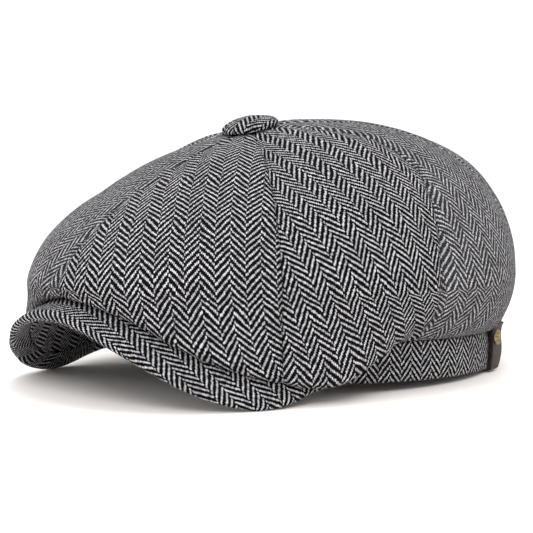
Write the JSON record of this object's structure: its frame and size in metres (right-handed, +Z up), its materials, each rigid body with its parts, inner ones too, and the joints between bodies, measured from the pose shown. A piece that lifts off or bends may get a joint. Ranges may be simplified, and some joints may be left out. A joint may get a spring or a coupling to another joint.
{
  "type": "newsboy cap",
  "caption": "Soft newsboy cap of sewn gores with a covered top button, a lining, a band with a riveted leather tab and a short arched brim under the front of the crown.",
  "frame": {"origin": "centre of the head opening, on the surface that the cap rests on", "axes": "+Z up, -Y towards the brim, +X towards the wearer's left"},
  "size_m": [0.1998, 0.26, 0.124],
  "materials": {
    "tweed": "black and white herringbone wool tweed",
    "lining_cloth": "black satin",
    "interlining": "stiff woven tape",
    "sweatband_cloth": "black cotton twill",
    "brim_board": "matte polyethylene board",
    "button_metal": "plain stamped steel",
    "tab_leather": "dark brown leather",
    "brass": "antique brass",
    "label_cloth": "woven satin tape"
  },
  "bodies": {
    "cap": {"crown_panel_1": "tweed", "crown_panel_2": "tweed", "crown_panel_3": "tweed", "crown_panel_4": "tweed", "crown_panel_5": "tweed", "crown_panel_6": "tweed", "crown_panel_7": "tweed", "crown_panel_8": "tweed", "lining_panel_1": "lining_cloth", "lining_panel_2": "lining_cloth", "lining_panel_3": "lining_cloth", "lining_panel_4": "lining_cloth", "lining_panel_5": "lining_cloth", "lining_panel_6": "lining_cloth", "lining_panel_7": "lining_cloth", "lining_panel_8": "lining_cloth", "outer_band": "tweed", "band_interlining": "interlining", "sweatband": "sweatband_cloth", "brim_board": "brim_board", "brim_top_cover": "tweed", "brim_under_cover": "tweed", "leather_tab": "tab_leather", "rivet_cap": "brass", "rivet_post": "brass", "size_label": "label_cloth"},
    "button": {"button_cover": "tweed", "button_shell": "button_metal", "button_back": "button_metal", "button_shank": "button_metal"}
  },
  "joints": [
    {"name": "button_turn", "type": "hinge", "parent": "cap", "child": "button", "pos_m": [0, -0.033, 0.1165], "axis": [0, -0.2334, 0.9724], "range_deg": [-25, 25], "stiffness_Nm_per_rad": 0.002}
  ]
}
